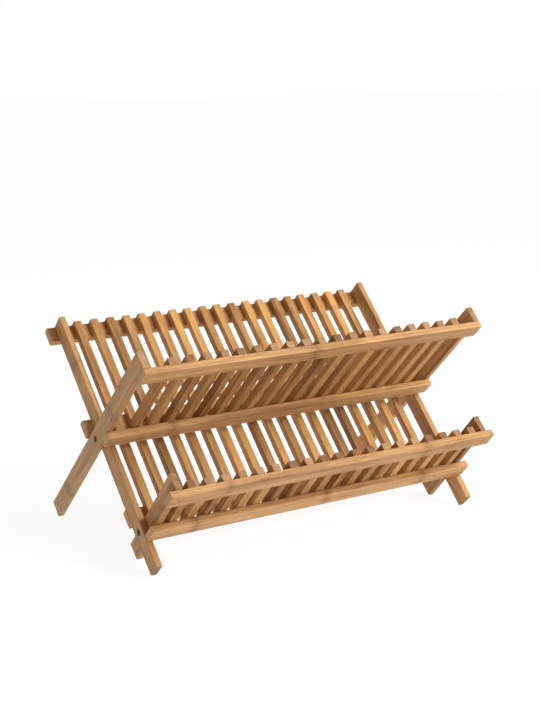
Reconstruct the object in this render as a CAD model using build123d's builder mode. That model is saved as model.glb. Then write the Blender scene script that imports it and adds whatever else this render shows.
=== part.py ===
from build123d import *
import math
import os

# Folding two-tier dish rack. Three slatted frames of square-cut bamboo strips cross like scissors.
# The long frame leans back and carries plates on both tiers. The upper frame stands behind it, crosses
# it at the middle and makes the front of the upper tier. The lower frame is short, crosses the long
# frame just above its feet and makes the front of the lower tier.
#
# X runs along the rails, -Y is the front and +Z is up. The origin is on the floor, under the middle
# of the rack's outline. Each frame is laid out on its own plane: local X along its legs, local Y
# along world X, and local Z square to the slats.

# Strip sections
leg_thickness = 7.0
leg_depth = 19.4
rail_width = 18.9
rail_thickness = 7.8
slat_width = 9.2
slat_depth = 8.4
edge_ease = 0.6

# Width over the outermost legs, how far the long frame's two wide rails stand out beyond them at each
# end, and the side play between neighbouring legs
rack_width = 420.0
long_rail_overhang = 1.8
leg_gap = 0.5

# Slats
slat_count = 19
slat_pitch = 19.62

# Lean of each frame from the floor, in degrees
long_lean = 44.5
upper_lean = 44.9
lower_lean = 48.7

# Distances along the frames. Each rise is from a pivot up to a rail's lower edge.
long_leg_length = 307.4
main_pivot_height_on_leg = 157.9
lower_pivot_height_on_leg = 44.7
long_bottom_rail_start = 57.7
upper_pivot_to_top = 150.2
lower_pivot_to_top = 92.2
long_middle_rail_rise = 10.4
upper_bottom_rail_rise = 11.8
lower_bottom_rail_rise = 10.3
lower_foot_clearance = 0.3

# Pivot screws: sunk pan head, plain shank, cross recess
screw_head_radius = 3.4
screw_head_height = 1.8
screw_head_sink = 0.5
screw_shank_radius = 2.0
screw_grip_depth = 6.0
screw_tip_chamfer = 0.5
screw_head_chamfer = 0.3
recess_length = 3.6
recess_width = 0.9
recess_depth = 0.9
running_clearance = 0.05
head_clearance = 0.3

# Brads through the rails into the legs
brad_radius = 0.7
brad_head_radius = 1.0
brad_head_height = 0.5
brad_length = 15.0
brad_pocket_radius = 1.1
brad_pocket_depth = 0.4

SIDES = {"left": -1, "right": 1}

half_depth = leg_depth / 2
rail_outer = half_depth + rail_thickness
slat_inner = half_depth - slat_depth
through_bore_radius = screw_shank_radius + running_clearance
counterbore_radius = screw_head_radius + head_clearance
counterbore_depth = screw_head_sink + screw_head_height + head_clearance

# Outer faces of the three pairs of legs, nested side by side
upper_outer_x = rack_width / 2
long_outer_x = upper_outer_x - leg_thickness - leg_gap
lower_outer_x = long_outer_x - leg_thickness - leg_gap

# Profile of the open rack, seen from its end. The long frame stands on the back corner of its foot,
# and the upper frame on the front corner of its own.
long_angle = math.radians(long_lean)
upper_angle = math.radians(upper_lean)
lower_angle = math.radians(lower_lean)

long_foot_z = half_depth * math.cos(long_angle)
main_pivot_z = long_foot_z + main_pivot_height_on_leg * math.sin(long_angle)
lower_pivot_z = long_foot_z + lower_pivot_height_on_leg * math.sin(long_angle)
upper_foot_reach = main_pivot_z - half_depth * math.cos(upper_angle)
upper_foot_to_pivot = upper_foot_reach / math.sin(upper_angle)
lower_foot_reach = lower_pivot_z - half_depth * math.cos(lower_angle) - lower_foot_clearance
lower_foot_to_pivot = lower_foot_reach / math.sin(lower_angle)

# The outline runs from the lower frame's top rail to the long frame's top rail
front_reach = (
    lower_pivot_height_on_leg * math.cos(long_angle)
    - lower_pivot_to_top * math.cos(lower_angle)
    - rail_outer * math.sin(lower_angle)
)
back_reach = long_leg_length * math.cos(long_angle) + rail_outer * math.sin(long_angle)
long_foot_y = -(front_reach + back_reach) / 2
main_pivot_y = long_foot_y + main_pivot_height_on_leg * math.cos(long_angle)
lower_pivot_y = long_foot_y + lower_pivot_height_on_leg * math.cos(long_angle)

# Frame planes. The long frame's faces back and down, with its rails on that side. The other two
# face back and up from their pivots, with their rails on the far side.
long_plane = Plane(
    origin=(0, long_foot_y, long_foot_z),
    x_dir=(0, math.cos(long_angle), math.sin(long_angle)),
    z_dir=(0, math.sin(long_angle), -math.cos(long_angle)),
)
upper_plane = Plane(
    origin=(0, main_pivot_y, main_pivot_z),
    x_dir=(0, -math.cos(upper_angle), math.sin(upper_angle)),
    z_dir=(0, math.sin(upper_angle), math.cos(upper_angle)),
)
lower_plane = Plane(
    origin=(0, lower_pivot_y, lower_pivot_z),
    x_dir=(0, -math.cos(lower_angle), math.sin(lower_angle)),
    z_dir=(0, math.sin(lower_angle), math.cos(lower_angle)),
)


def strip(plane, start, end, x_middle, x_width, low, high):
    """A straight square-cut strip with eased edges."""
    with BuildPart() as piece:
        with BuildSketch(plane.offset(low)):
            with Locations(((start + end) / 2, x_middle)):
                Rectangle(end - start, x_width)
        extrude(amount=high - low)
        fillet(piece.edges(), edge_ease)
    return piece


def leg(plane, start, end, outer_x, side, sunk_pivots=(), grip_pivots=()):
    """A leg on one side: sunk pivots are bored through from outside, grip pivots hold a screw's end."""
    leg_middle = side * (outer_x - leg_thickness / 2)
    blank = strip(plane, start, end, leg_middle, leg_thickness, -half_depth, half_depth)
    outer_face = side * outer_x
    with BuildPart() as piece:
        add(blank.part)
        for pivot_y, pivot_z in sunk_pivots:
            with Locations(Plane(origin=(outer_face, pivot_y, pivot_z), z_dir=(side, 0, 0))):
                CounterBoreHole(through_bore_radius, counterbore_radius, counterbore_depth)
        for pivot_y, pivot_z in grip_pivots:
            with Locations(Plane(origin=(outer_face, pivot_y, pivot_z), z_dir=(side, 0, 0))):
                Hole(screw_shank_radius, depth=screw_grip_depth)
    return piece


def rail(plane, start, half_length, rail_side, brad_x):
    """A cross rail on one face of a frame, with a pocket over each leg for a brad."""
    low, high = sorted((rail_side * half_depth, rail_side * rail_outer))
    blank = strip(plane, start, start + rail_width, 0, 2 * half_length, low, high)
    with BuildPart() as piece:
        add(blank.part)
        with BuildSketch(plane.offset(rail_side * rail_outer)):
            with Locations((start + rail_width / 2, -brad_x), (start + rail_width / 2, brad_x)):
                Circle(brad_pocket_radius)
        extrude(amount=-rail_side * brad_pocket_depth, mode=Mode.SUBTRACT)
    return piece


def slat(plane, number, start, end, rail_side):
    """One slat, counted from the left, seated on the rails inside the legs' depth."""
    x_middle = (number - (slat_count + 1) / 2) * slat_pitch
    low, high = sorted((rail_side * slat_inner, rail_side * half_depth))
    return strip(plane, start, end, x_middle, slat_width, low, high)


def brads(plane, rail_starts, rail_side, brad_x):
    """A frame's brads, one through each rail into each leg."""
    head_plane = plane.offset(rail_side * (rail_outer - brad_pocket_depth))
    with BuildPart() as group:
        for radius, length in ((brad_head_radius, brad_head_height), (brad_radius, brad_length)):
            with BuildSketch(head_plane):
                for start in rail_starts:
                    along = start + rail_width / 2
                    with Locations((along, -brad_x), (along, brad_x)):
                        Circle(radius)
            extrude(amount=-rail_side * length)
    return group


def pivot_screw(pivot_y, pivot_z, outer_x, side):
    """One hinge screw, its head sunk below the outer leg's face and its tip inside the inner leg."""
    head_point = (side * (outer_x - screw_head_sink), pivot_y, pivot_z)
    length = leg_thickness - screw_head_sink + leg_gap + screw_grip_depth
    with BuildPart() as screw:
        with BuildSketch(Plane(origin=head_point, x_dir=(0, 1, 0), z_dir=(0, 0, side))):
            with BuildLine():
                Polyline(
                    (0, 0),
                    (screw_head_radius - screw_head_chamfer, 0),
                    (screw_head_radius, screw_head_chamfer),
                    (screw_head_radius, screw_head_height),
                    (screw_shank_radius, screw_head_height),
                    (screw_shank_radius, length - screw_tip_chamfer),
                    (screw_shank_radius - screw_tip_chamfer, length),
                    (0, length),
                    close=True,
                )
            make_face()
        revolve(axis=Axis(head_point, (side, 0, 0)))
        with BuildSketch(Plane(origin=head_point, x_dir=(0, 1, 0), z_dir=(side, 0, 0))):
            Rectangle(recess_length, recess_width)
            Rectangle(recess_width, recess_length)
        extrude(amount=-recess_depth, mode=Mode.SUBTRACT)
    return screw


def pivot_screws(pivot_y, pivot_z, outer_x):
    """The left and right screws of one hinge."""
    pair = [pivot_screw(pivot_y, pivot_z, outer_x, side).part for side in SIDES.values()]
    with BuildPart() as group:
        add(pair)
    return group


def write_node(piece, name):
    """Label a finished piece and write it as its own STEP file."""
    piece.part.label = name
    export_step(piece.part, f"parts/{name}.step")


os.makedirs("parts", exist_ok=True)

main_pivot = (main_pivot_y, main_pivot_z)
lower_pivot = (lower_pivot_y, lower_pivot_z)
long_leg_x = long_outer_x - leg_thickness / 2
upper_leg_x = upper_outer_x - leg_thickness / 2
lower_leg_x = lower_outer_x - leg_thickness / 2

# Legs, nested from the outside in: upper frame, long frame, lower frame
for side_name, side in SIDES.items():
    long_leg = leg(long_plane, 0, long_leg_length, long_outer_x, side, [lower_pivot], [main_pivot])
    write_node(long_leg, f"long_frame_{side_name}_leg")
    upper_leg = leg(
        upper_plane, -upper_foot_to_pivot, upper_pivot_to_top, upper_outer_x, side, sunk_pivots=[main_pivot]
    )
    write_node(upper_leg, f"upper_frame_{side_name}_leg")
    lower_leg = leg(
        lower_plane, -lower_foot_to_pivot, lower_pivot_to_top, lower_outer_x, side, grip_pivots=[lower_pivot]
    )
    write_node(lower_leg, f"lower_frame_{side_name}_leg")

# Long frame rails, on its back face. The top and middle rails reach out behind the upper frame's
# legs, and the middle one stops them when the rack is open.
long_middle_rail_start = main_pivot_height_on_leg + long_middle_rail_rise
wide_half_length = upper_outer_x + long_rail_overhang
long_rails = {
    "top": (long_leg_length - rail_width, wide_half_length),
    "middle": (long_middle_rail_start, wide_half_length),
    "bottom": (long_bottom_rail_start, long_outer_x),
}
for rail_name, (start, half_length) in long_rails.items():
    long_rail = rail(long_plane, start, half_length, 1, long_leg_x)
    write_node(long_rail, f"long_frame_{rail_name}_rail")

# Upper and lower frame rails, on their front faces. Each bottom rail lies across the long frame's
# legs and stops its frame when the rack is open.
upper_rails = {
    "top": upper_pivot_to_top - rail_width,
    "bottom": upper_bottom_rail_rise,
}
for rail_name, start in upper_rails.items():
    upper_rail = rail(upper_plane, start, upper_outer_x, -1, upper_leg_x)
    write_node(upper_rail, f"upper_frame_{rail_name}_rail")

lower_rails = {
    "top": lower_pivot_to_top - rail_width,
    "bottom": lower_bottom_rail_rise,
}
for rail_name, start in lower_rails.items():
    lower_rail = rail(lower_plane, start, long_outer_x, -1, lower_leg_x)
    write_node(lower_rail, f"lower_frame_{rail_name}_rail")

# Slats, from the lowest rail's lower edge to the top of the legs
for number in range(1, slat_count + 1):
    long_slat = slat(long_plane, number, long_bottom_rail_start, long_leg_length, 1)
    write_node(long_slat, f"long_frame_slat_{number:02d}")
    upper_slat = slat(upper_plane, number, upper_bottom_rail_rise, upper_pivot_to_top, -1)
    write_node(upper_slat, f"upper_frame_slat_{number:02d}")

with BuildPart() as lower_frame_slats:
    for number in range(1, slat_count + 1):
        add(slat(lower_plane, number, lower_bottom_rail_rise, lower_pivot_to_top, -1).part)
write_node(lower_frame_slats, "lower_frame_slats")

# Fasteners
write_node(pivot_screws(main_pivot_y, main_pivot_z, upper_outer_x), "main_pivot_screws")
write_node(pivot_screws(lower_pivot_y, lower_pivot_z, long_outer_x), "lower_pivot_screws")
long_rail_starts = [start for start, half_length in long_rails.values()]
write_node(brads(long_plane, long_rail_starts, 1, long_leg_x), "long_frame_brads")
write_node(brads(upper_plane, upper_rails.values(), -1, upper_leg_x), "upper_frame_brads")
write_node(brads(lower_plane, lower_rails.values(), -1, lower_leg_x), "lower_frame_brads")
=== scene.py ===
import math
import random

import bmesh
import bpy
import numpy as np
from mathutils import Matrix, Vector


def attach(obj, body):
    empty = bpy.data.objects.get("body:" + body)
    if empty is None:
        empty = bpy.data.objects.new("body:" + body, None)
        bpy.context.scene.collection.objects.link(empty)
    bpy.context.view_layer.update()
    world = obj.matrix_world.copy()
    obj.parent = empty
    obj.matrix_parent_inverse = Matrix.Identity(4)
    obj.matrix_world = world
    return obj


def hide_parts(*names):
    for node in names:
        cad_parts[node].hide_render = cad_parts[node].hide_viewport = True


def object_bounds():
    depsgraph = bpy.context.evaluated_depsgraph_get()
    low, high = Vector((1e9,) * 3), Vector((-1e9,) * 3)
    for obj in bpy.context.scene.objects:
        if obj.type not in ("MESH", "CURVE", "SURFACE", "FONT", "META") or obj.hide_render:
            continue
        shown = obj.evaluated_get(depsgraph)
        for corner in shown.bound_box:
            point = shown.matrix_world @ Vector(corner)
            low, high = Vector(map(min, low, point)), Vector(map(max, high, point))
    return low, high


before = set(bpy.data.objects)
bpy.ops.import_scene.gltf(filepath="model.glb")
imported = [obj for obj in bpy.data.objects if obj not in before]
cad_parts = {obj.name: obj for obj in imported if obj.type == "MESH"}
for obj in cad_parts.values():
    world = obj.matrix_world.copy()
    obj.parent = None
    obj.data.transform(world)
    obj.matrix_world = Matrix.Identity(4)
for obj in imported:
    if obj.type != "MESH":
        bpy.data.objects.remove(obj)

# A folding two-tier dish rack of square-cut bamboo strips. Every wooden strip is rebuilt as its own
# piece, in a local frame whose X runs along the fibres, within the outline of the CAD strip it
# stands for, and the slats are then set a little off their places, as in the real rack. The screws
# and brads are the CAD nodes themselves.

cad_low, cad_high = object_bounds()

MM = 0.001
X_AXIS = Vector((1, 0, 0))


# ---------------------------------------------------------------------------------------------
# Materials
# ---------------------------------------------------------------------------------------------


def srgb(code):
    """Linear RGBA of a colour written as six hex digits."""
    values = [int(code[i : i + 2], 16) / 255 for i in (0, 2, 4)]
    linear = [v / 12.92 if v <= 0.04045 else ((v + 0.055) / 1.055) ** 2.4 for v in values]
    return (*linear, 1.0)


class Graph:
    """Short-hand for building one material from nodes."""

    def __init__(self, name):
        self.material = bpy.data.materials.new(name)
        self.material.use_nodes = True
        self.tree = self.material.node_tree
        self.tree.nodes.clear()

    def plug(self, socket, value):
        """Links an output to a socket, or sets the socket to a value."""
        if isinstance(value, bpy.types.NodeSocket):
            self.tree.links.new(value, socket)
        elif value is not None:
            socket.default_value = value

    def node(self, kind, values=(), **settings):
        """A node with its inputs, by name or number, plugged."""
        made = self.tree.nodes.new(kind)
        for key, value in settings.items():
            setattr(made, key, value)
        for key, value in dict(values).items():
            self.plug(made.inputs[key], value)
        return made

    def attribute(self, name, output):
        return self.node("ShaderNodeAttribute", attribute_name=name).outputs[output]

    def stretch(self, vector, along, across, deep):
        """A place in metres as a place in noise cells, with cells per metre each way."""
        scaled = {0: vector, 1: (along, across, deep)}
        return self.node("ShaderNodeVectorMath", scaled, operation="MULTIPLY").outputs[0]

    def noise(self, vector, detail=2.0, roughness=0.5, distortion=0.0):
        values = {
            "Vector": vector, "Scale": 1.0, "Detail": detail,
            "Roughness": roughness, "Distortion": distortion,
        }
        return self.node("ShaderNodeTexNoise", values).outputs["Fac"]

    def math(self, operation, a, b=None, clamp=False):
        made = self.node("ShaderNodeMath", operation=operation, use_clamp=clamp)
        for socket, value in zip(made.inputs, (a, b)):
            self.plug(socket, value)
        return made.outputs[0]

    def fade(self, value, start, end, low=0.0, high=1.0):
        """Goes smoothly from low to high while value goes from start to end."""
        values = {"Value": value, "From Min": start, "From Max": end, "To Min": low, "To Max": high}
        return self.node("ShaderNodeMapRange", values, interpolation_type="SMOOTHSTEP").outputs[0]

    def spread(self, value, amount):
        """value, which is 0 to 1 about a half, as an offset of up to amount either way."""
        return self.math("MULTIPLY", self.math("SUBTRACT", value, 0.5), 2 * amount)

    def total(self, *values):
        result = values[0]
        for value in values[1:]:
            result = self.math("ADD", result, value)
        return result

    def blend(self, factor, a, b, mode="MIX"):
        """Colour a, turning to colour b as factor goes from 0 to 1."""
        made = self.node("ShaderNodeMix", data_type="RGBA", blend_type=mode)
        for index, value in ((0, factor), (6, a), (7, b)):
            self.plug(made.inputs[index], value)
        return made.outputs[2]

    def scale_colour(self, colour, factor):
        grey = self.node("ShaderNodeCombineColor", {"Red": factor, "Green": factor, "Blue": factor})
        return self.blend(1.0, colour, grey.outputs[0], "MULTIPLY")

    def bump(self, height, distance, strength):
        values = {"Height": height, "Distance": distance, "Strength": strength}
        return self.node("ShaderNodeBump", values).outputs[0]

    def finish(self, colour, roughness, normal, **fixed):
        values = {"Base Color": colour, "Roughness": roughness, "Normal": normal}
        surface = self.node("ShaderNodeBsdfPrincipled", {**values, **fixed})
        self.node("ShaderNodeOutputMaterial", {"Surface": surface.outputs[0]})
        return self.material


def bamboo_side(name, pale, deep):
    """Planed, satin bamboo seen along its fibres, with a tone for each board, strands, fibres,
    pore dashes, stains and the dark joints of the culm."""
    g = Graph(name)
    grain = g.attribute("grain", "Vector")
    board = g.node("ShaderNodeSeparateColor", {0: g.attribute("board", "Color")})
    tone, shade, grey = board.outputs[0], board.outputs[1], board.outputs[2]
    knot = g.attribute("knot", "Fac")
    joint = g.attribute("joint", "Fac")
    wear_and_highlight_edge = g.attribute("wear_and_highlight_edge", "Fac")

    strands = g.noise(g.stretch(grain, 5, 330, 330), 2.0, 0.5, 0.15)
    streaks = g.fade(g.noise(g.stretch(grain, 10, 900, 900), 1.0, 0.5, 0.1), 0.32, 0.68)
    fibres = g.noise(g.stretch(grain, 34, 1900, 1900), 3.0, 0.6)
    pores = g.fade(g.noise(g.stretch(grain, 95, 1500, 1500), 1.0), 0.58, 0.72)
    cloud = g.noise(g.stretch(grain, 11, 60, 60), 3.0, 0.6, 0.6)
    stain = g.fade(g.noise(g.stretch(grain, 26, 95, 95), 3.0, 0.6, 0.8), 0.56, 0.78)

    wander = g.spread(g.noise(g.stretch(grain, 15, 260, 260), 2.0), 0.0045)
    from_knot = g.math("ABSOLUTE", g.total(knot, wander))
    ring = g.math("MULTIPLY", g.fade(from_knot, 0.0012, 0.0002), joint)
    streaked = g.fade(strands, 0.32, 0.68, 0.15, 1.0)
    halo = g.math("MULTIPLY", g.fade(from_knot, 0.0105, 0.0006), streaked)
    halo = g.math("MULTIPLY", halo, joint)

    mixed = g.total(tone, g.spread(cloud, 0.62), g.spread(strands, 0.56), g.spread(fibres, 0.34))
    mixed = g.total(mixed, g.spread(streaks, 0.09))
    colour = g.blend(g.math("ADD", mixed, 0.0, clamp=True), pale, deep)
    colour = g.blend(g.math("MULTIPLY", pores, 0.36), colour, srgb("4E2F17"))
    colour = g.blend(g.math("MULTIPLY", stain, 0.26), colour, srgb("6F4520"))
    colour = g.blend(g.math("MULTIPLY", halo, 0.68), colour, srgb("61381A"))
    colour = g.blend(g.math("MULTIPLY", ring, 0.42), colour, srgb("3E220E"))
    # Corners lightened, partly as wear and partly as a painted highlight.
    colour = g.blend(g.math("MULTIPLY", wear_and_highlight_edge, 0.16), colour, srgb("C99A66"))
    # Greyness: a small random tone on most boards, and a painted sheen on the upper frame's left leg.
    colour = g.blend(grey, colour, srgb("9C8467"))
    colour = g.scale_colour(colour, shade)

    roughness = g.total(0.40, g.math("MULTIPLY", fibres, 0.16), g.math("MULTIPLY", pores, 0.12))
    roughness = g.total(roughness, g.math("MULTIPLY", wear_and_highlight_edge, 0.08), g.math("MULTIPLY", cloud, 0.08))
    height = g.total(g.math("MULTIPLY", fibres, 0.5), g.math("MULTIPLY", strands, 0.9))
    sunk = g.total(g.math("MULTIPLY", pores, 0.6), g.math("MULTIPLY", ring, 0.8))
    height = g.math("SUBTRACT", height, sunk)
    normal = g.bump(height, 0.00022, 0.55)
    return g.finish(colour, roughness, normal, **{"Specular IOR Level": 0.31, "IOR": 1.46})


def bamboo_end(name, pale, deep):
    """Sawn end grain, duller and greyer, with the dots of the fibre bundles and saw marks."""
    g = Graph(name)
    grain = g.attribute("grain", "Vector")
    board = g.node("ShaderNodeSeparateColor", {0: g.attribute("board", "Color")})
    shade = board.outputs[1]
    tone = g.attribute("board", "Alpha")
    wear_and_highlight_edge = g.attribute("wear_and_highlight_edge", "Fac")

    bundles = {"Vector": g.stretch(grain, 0, 950, 1250), "Scale": 1.0, "Randomness": 0.85}
    cell = g.node("ShaderNodeTexVoronoi", bundles).outputs["Distance"]
    dots = g.fade(cell, 0.46, 0.20)
    saw = g.noise(g.stretch(grain, 0, 130, 2600), 2.0)
    cloud = g.noise(g.stretch(grain, 0, 140, 140), 3.0)

    mixed = g.total(tone, g.spread(cloud, 0.35), g.spread(saw, 0.18))
    colour = g.blend(g.math("ADD", mixed, 0.0, clamp=True), pale, deep)
    colour = g.blend(g.math("MULTIPLY", dots, 0.45), colour, srgb("4A3322"))
    # Corners of the end grain lightened, partly as wear and partly as a painted highlight.
    colour = g.blend(g.math("MULTIPLY", wear_and_highlight_edge, 0.20), colour, srgb("B08E68"))
    colour = g.scale_colour(colour, shade)

    roughness = g.total(0.62, g.math("MULTIPLY", saw, 0.16), g.math("MULTIPLY", dots, 0.08))
    height = g.total(g.math("MULTIPLY", saw, 0.5), g.math("MULTIPLY", dots, -0.7))
    normal = g.bump(height, 0.00018, 0.6)
    return g.finish(colour, roughness, normal, **{"Specular IOR Level": 0.3, "IOR": 1.46})


def steel(name, bright, dull, rough_low, rough_high, fine):
    """Turned steel with a browned film, fine scratches and pits."""
    g = Graph(name)
    place = g.node("ShaderNodeTexCoord").outputs["Object"]
    film = g.noise(g.stretch(place, 420, 420, 420), 4.0, 0.65)
    scratches = g.noise(g.stretch(place, 300, fine, fine * 0.15), 2.0, 0.6, 0.5)
    pits = g.fade(g.noise(g.stretch(place, 2600, 2600, 2600), 1.0), 0.62, 0.74)

    colour = g.blend(g.fade(film, 0.35, 0.65), bright, dull)
    colour = g.blend(g.math("MULTIPLY", pits, 0.5), colour, srgb("2A2019"))
    wear = g.total(g.math("MULTIPLY", film, 0.6), g.math("MULTIPLY", scratches, 0.4))
    roughness = g.fade(wear, 0.3, 0.7, rough_low, rough_high)
    height = g.math("SUBTRACT", g.math("MULTIPLY", scratches, 0.5), pits)
    normal = g.bump(height, 0.00005, 0.5)
    return g.finish(colour, roughness, normal, Metallic=1.0)


side_materials = {
    "bamboo_leg": bamboo_side("leg_bamboo_along_fibres", srgb("CA975C"), srgb("7C4A19")),
    "bamboo_rail": bamboo_side("rail_bamboo_along_fibres", srgb("CF9D63"), srgb("7E4C1B")),
    "bamboo_slat": bamboo_side("slat_bamboo_along_fibres", srgb("CB9754"), srgb("703F11")),
}
end_material = bamboo_end("bamboo_end_grain", srgb("BC946B"), srgb("70492C"))
screw_material = steel("browned_screw_steel", srgb("6A5840"), srgb("3A2E1F"), 0.42, 0.68, 5200)
dark_brad_material = steel("blackened_brad_steel", srgb("40372C"), srgb("241D16"), 0.42, 0.70, 6500)
dull_brad_material = steel("dull_brad_steel", srgb("9A7C58"), srgb("6A4F35"), 0.42, 0.70, 6500)


# ---------------------------------------------------------------------------------------------
# Boards
# ---------------------------------------------------------------------------------------------

# Corners and ends. A corner's radius varies along the strip about EASE, and stays above END_EASE,
# so that the rounded ends never fold through the corners. SUPPORT and CAP_INSET set the extra points
# on the flats beside the corners.
CORNER_STEPS = 3
EASE = 0.8 * MM
EASE_LEAST, EASE_RANGE = 0.95, 0.3
END_EASE = 0.6 * MM
END_STEPS = 3
SUPPORT = 0.5 * MM
CAP_INSET = 1.0 * MM
SHARP_ANGLE = math.radians(38)

# How faces and corners waver along a strip: the wavelengths, and how far a face goes inwards
FACE_WAVES = (60 * MM, 240 * MM)
CORNER_WAVES = (40 * MM, 160 * MM)
WAVE_PARTS = 3
HOLLOW = 0.10 * MM
STATION_STEP = 7 * MM

# Culm joints: how they are spaced, the cross-sections at each one, and where their stain fades out
FIRST_KNOT = (0.15, 1.0)
NEXT_KNOT = (0.75, 1.3)
KNOT_END_GAP = 6 * MM
KNOT_ROWS = [offset * MM for offset in (-2.6, -1.2, 0, 1.2, 2.6)]
KNOT_ROOM = 3.4 * MM
KNOT_WIDTH = 2.2 * MM
KNOT_CALM = 0.8
KNOT_REACH = 20 * MM
JOINT_REACH = 16 * MM
JOINT_FADE = 6 * MM
JOINT_STRENGTHS = (0.1, 0.2, 0.35, 0.7)

# Holes. In a CAD strip, vertices nearer its outline than HOLE_MARGIN are its own corners, and
# vertices further apart along it than HOLE_SPACING belong to different holes.
BORE_LIP = 0.3 * MM
BORE_LIP_EDGE = 0.05 * MM
BORE_SIDES = 40
OVERCUT = 1 * MM
HOLE_MARGIN = 1.3 * MM
HOLE_SPACING = 12 * MM
TOUCH = 0.05 * MM
SQUARE_TO_X = 0.02

# The grain is shifted by up to GRAIN_SHIFT metres, so that no two boards look the same. Corners, within
# the distance set for them below, are lightened at their edge, partly as wear and partly as a painted
# highlight. End grain is what lies within END_FACE_DEPTH of an end and faces along the fibres by more
# than END_FACE_NORMAL.
GRAIN_SHIFT = 1.5
WORN_AND_LIT_WITHIN = 0.4 * MM
END_FACE_DEPTH = 0.3 * MM
END_FACE_NORMAL = 0.75


def wave(rng, shortest, longest):
    """A smooth random function of the distance along a board, from 0 to 1."""
    parts = []
    for _ in range(WAVE_PARTS):
        parts.append((2 * math.pi / rng.uniform(shortest, longest), rng.uniform(0, 2 * math.pi)))
    return lambda x: 0.5 + sum(math.sin(k * x + phase) for k, phase in parts) / (2 * WAVE_PARTS)


def outline(half_y, half_z, ease):
    """Cross-section of a strip with rounded corners, as (y, z, normal y, normal z). Each corner has
    a point on the flat at either side of it, which keeps the shading of the flats flat."""
    points = []
    for sign_y, sign_z, start in ((1, 1, 0), (-1, 1, 90), (-1, -1, 180), (1, -1, 270)):
        centre_y, centre_z = sign_y * (half_y - ease), sign_z * (half_z - ease)
        for step in range(-1, CORNER_STEPS + 2):
            on_arc = min(max(step, 0), CORNER_STEPS)
            angle = math.radians(start + 90 * on_arc / CORNER_STEPS)
            normal_y, normal_z = math.cos(angle), math.sin(angle)
            past = (step - on_arc) * SUPPORT
            y = centre_y + ease * normal_y - past * normal_z
            z = centre_z + ease * normal_z + past * normal_y
            points.append((y, z, normal_y, normal_z))
    return points


def lengthwise(half, knots):
    """Where the cross-sections stand along a strip, with how far each is pulled in at the ends."""
    inner = half - END_EASE
    steps = max(2, round(2 * inner / STATION_STEP))
    places = [-inner + 2 * inner * i / steps for i in range(steps + 1)]
    for knot in knots:
        places = [p for p in places if abs(p - knot) > KNOT_ROOM or abs(p) > inner - TOUCH]
        places += [knot + offset for offset in KNOT_ROWS]
    places = sorted(p for p in places if abs(p) <= inner)
    rows = [(p, 0.0) for p in places]
    for step in range(1, END_STEPS + 1):
        angle = math.radians(90 * step / END_STEPS)
        pulled = END_EASE * (1 - math.cos(angle))
        reach = inner + END_EASE * math.sin(angle)
        rows.append((reach, pulled))
        rows.insert(0, (-reach, pulled))
    return rows


def strip_mesh(name, size, knots, rng):
    """A square-cut strip as a closed mesh about its own centre. Its faces waver inwards by up to
    HOLLOW, but less at a knot, which stands up a little, and its corners are worn unevenly."""
    half = [s / 2 for s in size]
    waver = {key: wave(rng, *FACE_WAVES) for key in ("+y", "-y", "+z", "-z")}
    corner = wave(rng, *CORNER_WAVES)
    vertices, faces = [], []
    rows = lengthwise(half[0], knots)
    for x, pulled in rows:
        at_knot = min(1.0, sum(math.exp(-(((x - k) / KNOT_WIDTH) ** 2)) for k in knots))
        depth = HOLLOW * (1 - KNOT_CALM * at_knot)
        ease = EASE * (EASE_LEAST + EASE_RANGE * corner(x))
        for y, z, normal_y, normal_z in outline(half[1], half[2], ease):
            side_y = waver["+y" if normal_y > 0 else "-y"](x)
            side_z = waver["+z" if normal_z > 0 else "-z"](x)
            in_y = pulled + depth * side_y * abs(normal_y)
            in_z = pulled + depth * side_z * abs(normal_z)
            vertices.append((x, y - normal_y * in_y, z - normal_z * in_z))
    around = len(vertices) // len(rows)
    for row in range(len(rows) - 1):
        for i in range(around):
            j = (i + 1) % around
            a, b = row * around, (row + 1) * around
            faces.append((a + i, a + j, b + j, b + i))
    for row, flip in ((0, True), (len(rows) - 1, False)):
        base = row * around
        start = len(vertices)
        for i in range(around):
            x, y, z = vertices[base + i]
            vertices.append((x, y * (1 - CAP_INSET / half[1]), z * (1 - CAP_INSET / half[2])))
        for i in range(around):
            j = (i + 1) % around
            quad = (base + i, base + j, start + j, start + i)
            faces.append(quad[::-1] if flip else quad)
        cap = tuple(range(start, start + around))
        faces.append(cap[::-1] if flip else cap)
    mesh = bpy.data.meshes.new(name)
    mesh.from_pydata(vertices, [], faces)
    mesh.update()
    return mesh


def lathe(name, profile):
    """A closed turned solid about Z from (depth, radius) pairs, depths running along -Z."""
    vertices, faces = [], []
    for depth, radius in profile:
        for i in range(BORE_SIDES):
            angle = 2 * math.pi * i / BORE_SIDES
            vertices.append((radius * math.cos(angle), radius * math.sin(angle), -depth))
    for row in range(len(profile) - 1):
        for i in range(BORE_SIDES):
            j = (i + 1) % BORE_SIDES
            a, b = row * BORE_SIDES, (row + 1) * BORE_SIDES
            faces.append((a + i, b + i, b + j, a + j))
    faces.append(tuple(range(BORE_SIDES)))
    faces.append(tuple(range((len(profile) - 1) * BORE_SIDES, len(profile) * BORE_SIDES))[::-1])
    mesh = bpy.data.meshes.new(name)
    mesh.from_pydata(vertices, [], faces)
    mesh.update()
    return mesh


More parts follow.
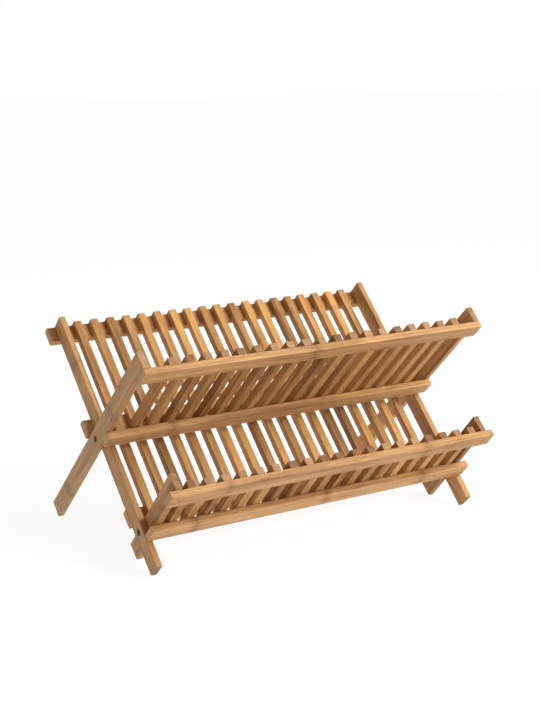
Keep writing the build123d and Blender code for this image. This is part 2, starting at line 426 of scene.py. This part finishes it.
def holes_in(points, half, axis):
    """The round holes a CAD strip has in its faces square to axis, read off its vertices, as
    (centre, facing side, [(depth, radius)] from the face inwards)."""
    across = [i for i in range(3) if i != axis]
    clear = [abs(points[:, i]) < half[i] - HOLE_MARGIN for i in across]
    inside = points[clear[0] & clear[1]]
    if len(inside) == 0:
        return []
    inside = inside[np.argsort(inside[:, 0])]
    groups = np.split(inside, np.where(np.diff(inside[:, 0]) > HOLE_SPACING)[0] + 1)
    found = []
    for group in groups:
        centre = (group.min(0) + group.max(0)) / 2
        radii = np.linalg.norm((group - centre)[:, across], axis=1)
        widest = group[radii > radii.max() - TOUCH]
        side = 1 if abs(widest[:, axis].max() - half[axis]) < TOUCH else -1
        depths = half[axis] - side * group[:, axis]
        rims = {(round(float(d), 5), round(float(r), 5)) for d, r in zip(depths, radii)}
        found.append((centre, side, sorted(rims, key=lambda rim: (rim[0], -rim[1]))))
    return found


def cut(obj, holes, axis, thickness):
    """Bores a strip, with a small worn lip at each mouth. Its faces are made triangles first, so
    that all of them are truly flat."""
    facets = bmesh.new()
    facets.from_mesh(obj.data)
    bmesh.ops.triangulate(facets, faces=facets.faces)
    facets.to_mesh(obj.data)
    facets.free()
    cutters = []
    for centre, side, rims in holes:
        mouth = rims[0][1]
        lip = mouth + BORE_LIP
        profile = [(-OVERCUT, lip), (BORE_LIP_EDGE, lip), (BORE_LIP, mouth)]
        profile += [rim for rim in rims if rim[0] > BORE_LIP]
        if abs(rims[-1][0] - thickness) < TOUCH:
            profile.append((thickness + OVERCUT, rims[-1][1]))
        cutter = bpy.data.objects.new("cutter", lathe("cutter", profile))
        bpy.context.scene.collection.objects.link(cutter)
        direction = Vector([side if i == axis else 0 for i in range(3)])
        place = Vector([side * thickness / 2 if i == axis else centre[i] for i in range(3)])
        turn = direction.to_track_quat("Z", "Y").to_matrix().to_4x4()
        cutter.matrix_world = obj.matrix_world @ Matrix.Translation(place) @ turn
        modifier = obj.modifiers.new("bore", "BOOLEAN")
        modifier.object = cutter
        modifier.operation = "DIFFERENCE"
        modifier.solver = "EXACT"
        cutters.append(cutter)
    bpy.context.view_layer.update()
    evaluated = obj.evaluated_get(bpy.context.evaluated_depsgraph_get())
    solid = bpy.data.meshes.new_from_object(evaluated)
    obj.modifiers.clear()
    plain = obj.data
    obj.data = solid
    solid.name = plain.name + "_bored"
    bpy.data.meshes.remove(plain)
    for cutter in cutters:
        mesh = cutter.data
        bpy.data.objects.remove(cutter)
        bpy.data.meshes.remove(mesh)


def dress(obj, size, knots, strengths, look, slot, rng):
    """Materials, and what they read: grain coordinates, the board's look, its knots, and its corners,
    lightened partly as wear and partly as a painted highlight.
    """
    mesh = obj.data
    mesh.materials.clear()
    mesh.materials.append(side_materials[slot])
    mesh.materials.append(end_material)
    count = len(mesh.vertices)
    points = np.zeros(count * 3, np.float32)
    mesh.vertices.foreach_get("co", points)
    points = points.reshape(-1, 3)
    half = np.array(size) / 2

    shift = np.array([rng.uniform(-GRAIN_SHIFT, GRAIN_SHIFT) for _ in range(3)])
    grain = mesh.attributes.new("grain", "FLOAT_VECTOR", "POINT")
    grain.data.foreach_set("vector", (points + shift).astype(np.float32).ravel())

    board = mesh.attributes.new("board", "FLOAT_COLOR", "POINT")
    board.data.foreach_set("color", np.tile(look, count).astype(np.float32))

    nearest = np.full(count, KNOT_REACH)
    strength = np.zeros(count)
    for knot, knot_strength in zip(knots, strengths):
        from_knot = points[:, 0] - knot
        is_nearer = abs(from_knot) < abs(nearest)
        nearest = np.where(is_nearer, from_knot, nearest)
        strength = np.where(is_nearer, knot_strength, strength)
    knot_attribute = mesh.attributes.new("knot", "FLOAT", "POINT")
    knot_attribute.data.foreach_set("value", nearest.astype(np.float32))
    joint = strength * np.clip((JOINT_REACH - abs(nearest)) / JOINT_FADE, 0, 1)
    joint_attribute = mesh.attributes.new("joint", "FLOAT", "POINT")
    joint_attribute.data.foreach_set("value", joint.astype(np.float32))

    # Marks corner vertices, whose colour is lightened partly as wear and partly as a painted highlight.
    gaps = np.sort(half - abs(points), axis=1)
    wear_and_highlight_edge = mesh.attributes.new("wear_and_highlight_edge", "FLOAT", "POINT")
    wear_and_highlight_edge.data.foreach_set("value", (gaps[:, 1] < WORN_AND_LIT_WITHIN).astype(np.float32))

    for face in mesh.polygons:
        outermost = abs(face.center.x) > half[0] - END_FACE_DEPTH
        face.material_index = 1 if outermost and abs(face.normal.x) > END_FACE_NORMAL else 0
        face.use_smooth = True
    mesh.set_sharp_from_angle(angle=SHARP_ANGLE)


def up_along(leg_name):
    """The unit vector up along a leg, read off its faces."""
    totals = {}
    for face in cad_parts[leg_name].data.polygons:
        if abs(face.normal.x) < SQUARE_TO_X:
            bearing = round(math.degrees(math.atan2(face.normal.z, face.normal.y)) % 180, 1)
            total = totals.setdefault(bearing, Vector())
            sign = -1 if total.dot(face.normal) < 0 else 1
            total += face.normal * face.area * sign
    square = max(totals.values(), key=lambda v: v.length).normalized()
    along = square.cross(X_AXIS).normalized()
    return along if along.z > 0 else -along


def vertices_of(node):
    """The CAD vertices of a node."""
    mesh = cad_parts[node].data
    points = np.zeros(len(mesh.vertices) * 3, np.float32)
    mesh.vertices.foreach_get("co", points)
    return points.reshape(-1, 3).astype(float)


def pick_knots(rng, length, gap):
    """Culm joints at natural, uneven distances along a strip."""
    knots = []
    place = -length / 2 + rng.uniform(*FIRST_KNOT) * gap
    while place < length / 2 - KNOT_END_GAP:
        knots.append(place)
        place += gap * rng.uniform(*NEXT_KNOT)
    return knots


def add_board(name, body, slot, points, axes, hole_axis, knot_gap, look, trim=0.0, jitter=0.0):
    """Builds one strip over the CAD points it stands for. axes are its directions along the fibres,
    across and square to both, and hole_axis is the one that its holes run along. look is its tone
    from pale to deep, its shade, its greyness and the tone of its ends. trim shortens its upper
    end, and jitter moves it sideways."""
    rng = random.Random(name)
    turn = np.array([list(axis) for axis in axes]).T
    local = points @ turn
    low, high = local.min(0), local.max(0)
    holes = holes_in(local - (low + high) / 2, (high - low) / 2, hole_axis) if hole_axis else []
    high[0] -= trim
    size = high - low
    centre = (low + high) / 2
    centre[1] += jitter
    marked = MARKED_JOINTS.get(name.removesuffix("_board"))
    knots = list(marked or pick_knots(rng, size[0], knot_gap))
    strengths = [MARKED_STRENGTH if marked else rng.choice(JOINT_STRENGTHS) for _ in knots]
    mesh = strip_mesh(name, list(size), knots, rng)
    obj = bpy.data.objects.new(name, mesh)
    bpy.context.scene.collection.objects.link(obj)
    matrix = Matrix([list(row) for row in turn]).to_4x4()
    matrix.translation = Vector(turn @ centre)
    obj.matrix_world = matrix
    if holes:
        cut(obj, holes, hole_axis, size[hole_axis])
    dress(obj, size, knots, strengths, look, slot, rng)
    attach(obj, body)
    return obj


# ---------------------------------------------------------------------------------------------
# The three frames
# ---------------------------------------------------------------------------------------------

# Slats, counted from the left, that are clearly paler or deeper than the rest, the legs that are
# deeper, and the leg whose colour is greyed as a painted sheen. Tones go from 0, pale, to 1, deep,
# and vary by their spread either way. Shades multiply a strip's colour.
PALE_SLATS = {
    "long_frame": (4, 5, 7, 8, 10, 12, 13, 16, 18),
    "upper_frame": (12, 14, 16, 17, 18, 19),
    "lower_frame": (5, 9, 15, 17, 18),
}
DEEP_SLATS = {
    "long_frame": (3, 9, 14, 15),
    "upper_frame": (3, 5, 11),
    "lower_frame": (3, 7, 8, 11),
}
SLAT_TONE, PALE_SLAT_TONE, DEEP_SLAT_TONE = 0.44, 0.16, 0.72
SLAT_TONE_SPREAD = 0.12
SLAT_SHADES = (0.94, 1.04)
SLAT_GREYNESS = (0.0, 0.08)
SLAT_END_TONES = (0.35, 0.55, 0.85)
DEEP_LEGS = ("lower_frame_left_leg", "lower_frame_right_leg")
LEG_TONE, DEEP_LEG_TONE = 0.38, 0.6
LEG_TONE_SPREAD = 0.08
LEG_SHADES = (0.93, 1.0)
LEG_END_TONE, GREY_LEG_END_TONE = 0.65, 0.25
# The upper frame's left leg is mixed toward grey-beige as a painted sheen.
SHEEN_GREYED_LEGS = {"upper_frame_left_leg": 0.30}
LEG_GREYNESS = 0.05
RAIL_TONES = (0.28, 0.42)
RAIL_SHADES = (0.96, 1.02)
RAIL_GREYNESS = 0.08
RAIL_END_TONE = 0.1

# The usual distance between culm joints, and the joints that show as soft dark bands, from the
# middle of their strip
LEG_KNOT_GAP = 190 * MM
RAIL_KNOT_GAP = 210 * MM
SLAT_KNOT_GAP = 150 * MM
MARKED_JOINTS = {
    "upper_frame_left_leg": (-104 * MM, 58 * MM),
    "lower_frame_bottom_rail": (-152 * MM, 8 * MM, 138 * MM),
    "upper_frame_top_rail": (-10 * MM,),
}
MARKED_STRENGTH = 0.92

# The most that a slat's upper end falls short of its CAD end, how far each frame's row of slats
# sits off centre, and the most that a slat is off its place in the row. SLAT_BREAK is wider than
# the flat of a slat and narrower than the gap between two, and tells the slats of one node apart.
TOP_TRIM = {"long_frame": 0.7 * MM, "upper_frame": 1.4 * MM, "lower_frame": 1.4 * MM}
SIDE_SHIFT = {"long_frame": -0.8 * MM, "upper_frame": 1.0 * MM, "lower_frame": 0.4 * MM}
SLAT_JITTER = 0.45 * MM
SLAT_BREAK = 9 * MM

tone_rng = random.Random(19)

for body in ("long_frame", "upper_frame", "lower_frame"):
    up = up_along(f"{body}_left_leg")
    upright = (up, X_AXIS, up.cross(X_AXIS))
    crosswise = (X_AXIS, up, X_AXIS.cross(up))

    for side in ("left", "right"):
        node = f"{body}_{side}_leg"
        greyness = SHEEN_GREYED_LEGS.get(node, LEG_GREYNESS)
        end_tone = GREY_LEG_END_TONE if node in SHEEN_GREYED_LEGS else LEG_END_TONE
        tone = DEEP_LEG_TONE if node in DEEP_LEGS else LEG_TONE
        tone += tone_rng.uniform(-LEG_TONE_SPREAD, LEG_TONE_SPREAD)
        look = (tone, tone_rng.uniform(*LEG_SHADES), greyness, end_tone)
        leg = add_board(
            f"{node}_board", body, "bamboo_leg", vertices_of(node), upright, 1, LEG_KNOT_GAP, look
        )
        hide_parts(node)

    rail_names = [n for n in sorted(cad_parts) if n.startswith(body) and n.endswith("_rail")]
    for node in rail_names:
        tone = tone_rng.uniform(*RAIL_TONES)
        look = (tone, tone_rng.uniform(*RAIL_SHADES), RAIL_GREYNESS, RAIL_END_TONE)
        rail = add_board(
            f"{node}_board", body, "bamboo_rail", vertices_of(node), crosswise, 2, RAIL_KNOT_GAP, look
        )
        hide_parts(node)

    slat_nodes = [n for n in sorted(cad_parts) if n.startswith(f"{body}_slat")]
    made = 0
    for node in slat_nodes:
        points = vertices_of(node)
        points = points[np.argsort(points[:, 0])]
        for group in np.split(points, np.where(np.diff(points[:, 0]) > SLAT_BREAK)[0] + 1):
            made += 1
            tone = SLAT_TONE
            if made in PALE_SLATS[body]:
                tone = PALE_SLAT_TONE
            elif made in DEEP_SLATS[body]:
                tone = DEEP_SLAT_TONE
            tone += tone_rng.uniform(-SLAT_TONE_SPREAD, SLAT_TONE_SPREAD)
            look = (
                tone, tone_rng.uniform(*SLAT_SHADES),
                tone_rng.uniform(*SLAT_GREYNESS), tone_rng.choice(SLAT_END_TONES),
            )
            slat = add_board(
                f"{body}_slat_board_{made:02d}", body, "bamboo_slat", group, upright, None,
                SLAT_KNOT_GAP, look,
                trim=tone_rng.uniform(0, TOP_TRIM[body]),
                jitter=SIDE_SHIFT[body] + tone_rng.uniform(-SLAT_JITTER, SLAT_JITTER),
            )
            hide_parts(node)

for node, slot, material in (
    ("main_pivot_screws", "screw_steel", screw_material),
    ("lower_pivot_screws", "screw_steel", screw_material),
    ("long_frame_brads", "brad_steel", dull_brad_material),
    ("upper_frame_brads", "brad_steel", dull_brad_material),
    ("lower_frame_brads", "brad_steel", dark_brad_material),
):
    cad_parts[node].data.materials.clear()
    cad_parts[node].data.materials.append(material)


# ---------------------------------------------------------------------------------------------
# Studio
# ---------------------------------------------------------------------------------------------

WHITE = (1.0, 1.0, 1.0, 1.0)
FLOOR_REACH = 9.0
FLOOR_GREY = (0.10, 0.10, 0.10, 1.0)
FLOOR_GLOW = 0.90

# White walls all round, dimming to SKY_OVERHEAD as a direction rises between the two heights
SKY_OVERHEAD = 0.38
SKY_DIMS_FROM, SKY_DIMS_TO = 0.04, 0.30

# The camera stands this far from its aim, turned from the front and raised from level
CAMERA_AZIMUTH = math.radians(-32.232)
CAMERA_ELEVATION = math.radians(13.351)
CAMERA_DISTANCE = 1.5375
CAMERA_LENS = 69.083
AIM_FROM_CENTRE = Vector((4.62, 16.36, 60.08)) * MM

centre = (cad_low + cad_high) / 2
scene = bpy.context.scene

floor_mesh = bpy.data.meshes.new("floor")
corners = [(x * FLOOR_REACH, y * FLOOR_REACH, 0) for x, y in ((-1, -1), (1, -1), (1, 1), (-1, 1))]
floor_mesh.from_pydata(corners, [], [(0, 1, 2, 3)])
floor = bpy.data.objects.new("floor", floor_mesh)
scene.collection.objects.link(floor)
paper = Graph("white_paper_floor")
glow = {"Emission Color": WHITE, "Emission Strength": FLOOR_GLOW}
floor_mesh.materials.append(paper.finish(FLOOR_GREY, roughness=0.9, normal=None, **glow))

world = bpy.data.worlds.new("studio")
scene.world = world
world.use_nodes = True
sky_nodes, sky_links = world.node_tree.nodes, world.node_tree.links
direction = sky_nodes.new("ShaderNodeTexCoord")
height = sky_nodes.new("ShaderNodeSeparateXYZ")
dimming = sky_nodes.new("ShaderNodeMapRange")
sky = {"From Min": SKY_DIMS_FROM, "From Max": SKY_DIMS_TO, "To Min": 1.0, "To Max": SKY_OVERHEAD}
for key, value in sky.items():
    dimming.inputs[key].default_value = value
sky_links.new(direction.outputs["Generated"], height.inputs[0])
sky_links.new(height.outputs["Z"], dimming.inputs["Value"])
sky_nodes["Background"].inputs["Color"].default_value = WHITE
sky_links.new(dimming.outputs[0], sky_nodes["Background"].inputs["Strength"])


def soft_light(name, from_centre, width, power, colour):
    """A square softbox that faces the middle of the rack."""
    data = bpy.data.lights.new(name, "AREA")
    data.shape = "SQUARE"
    data.size = width
    data.energy = power
    data.color = colour
    light = bpy.data.objects.new(name, data)
    scene.collection.objects.link(light)
    light.location = centre + Vector(from_centre)
    light.rotation_mode = "QUATERNION"
    light.rotation_quaternion = (-Vector(from_centre)).to_track_quat("-Z", "Y")


soft_light("key_softbox", from_centre=(0.9, -1.2, 1.35), width=1.2, power=52, colour=(1.0, 0.985, 0.96))
soft_light("side_softbox", from_centre=(1.3, -1.1, 0.15), width=0.7, power=7, colour=(1.0, 0.98, 0.95))

camera_data = bpy.data.cameras.new("camera")
camera_data.sensor_width = 36.0
camera_data.lens = CAMERA_LENS
camera_data.clip_start = 0.1
camera_data.clip_end = 60.0
camera = bpy.data.objects.new("camera", camera_data)
scene.collection.objects.link(camera)
scene.camera = camera
level = math.cos(CAMERA_ELEVATION)
back = Vector((
    math.sin(CAMERA_AZIMUTH) * level, -math.cos(CAMERA_AZIMUTH) * level, math.sin(CAMERA_ELEVATION)
))
camera.location = centre + AIM_FROM_CENTRE + back * CAMERA_DISTANCE
camera.rotation_mode = "QUATERNION"
camera.rotation_quaternion = (-back).to_track_quat("-Z", "Y")

scene.view_settings.view_transform = "Standard"
scene.view_settings.look = "None"
